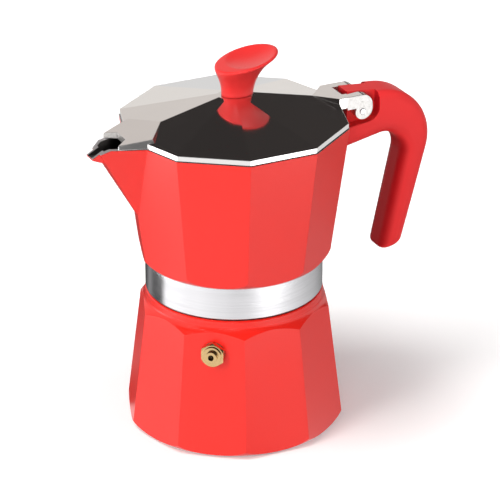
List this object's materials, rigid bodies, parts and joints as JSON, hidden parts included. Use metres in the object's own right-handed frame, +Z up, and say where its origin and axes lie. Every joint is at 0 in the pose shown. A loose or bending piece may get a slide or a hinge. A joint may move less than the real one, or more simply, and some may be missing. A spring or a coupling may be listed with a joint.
{
  "type": "moka pot",
  "caption": "Stovetop coffee pot: a faceted boiler with a safety valve, a screw-on collector with spout and side handle, and a hinged lid with a flared knob.",
  "frame": {"origin": "middle of the boiler's flat foot, on the table", "axes": "+Z up along the axis of the screw thread, +X towards the handle, -X towards the spout"},
  "size_m": [0.1539, 0.0922, 0.1637],
  "materials": {
    "red_enamel": "cast, with satin red enamel outside and a bare turned band at the collector's foot",
    "polished_aluminium": "mirror polished",
    "red_plastic": "fine satin",
    "brass": "turned",
    "seal_rubber": "matte",
    "steel": "plain",
    "spun_aluminium": "spun satin"
  },
  "bodies": {
    "lower": {"boiler": "red_enamel", "valve_body": "brass", "valve_washer": "seal_rubber", "valve_seat": "brass", "valve_spring": "steel", "funnel": "spun_aluminium", "funnel_screen": "spun_aluminium"},
    "ball": {"valve_ball": "steel"},
    "seal": {"gasket": "seal_rubber"},
    "upper": {"collector": "red_enamel", "filter_plate": "spun_aluminium", "riser_column": "spun_aluminium", "handle": "red_plastic", "handle_screw": "steel", "handle_washer": "steel", "hinge_pin": "steel"},
    "cover": {"lid": "polished_aluminium", "knob": "red_plastic", "knob_insert": "brass", "knob_screw": "steel", "knob_washer": "steel"}
  },
  "joints": [
    {"name": "collector_lift", "type": "slide", "parent": "lower", "child": "seal", "axis": [0, 0, 1], "range_m": [0, 0.0091]},
    {"name": "collector_twist", "type": "hinge", "parent": "seal", "child": "upper", "pos_m": [0, 0, 0.0682], "axis": [0, 0, 1], "range_deg": [0, 810]},
    {"name": "lid_hinge", "type": "hinge", "parent": "upper", "child": "cover", "pos_m": [0.0562, 0, 0.1313], "axis": [0, 1, 0], "range_deg": [0, 90]},
    {"name": "valve_lift", "type": "slide", "parent": "lower", "child": "ball", "axis": [-0.614, -0.7802, 0.1198], "range_m": [0, 0.001], "stiffness_N_per_m": 1500, "springref_m": -0.002, "deforming": ["valve_spring"]}
  ],
  "couplings": [
    {"joint": "collector_lift", "follows": "collector_twist", "m_per_rad": 0.00063662}
  ]
}
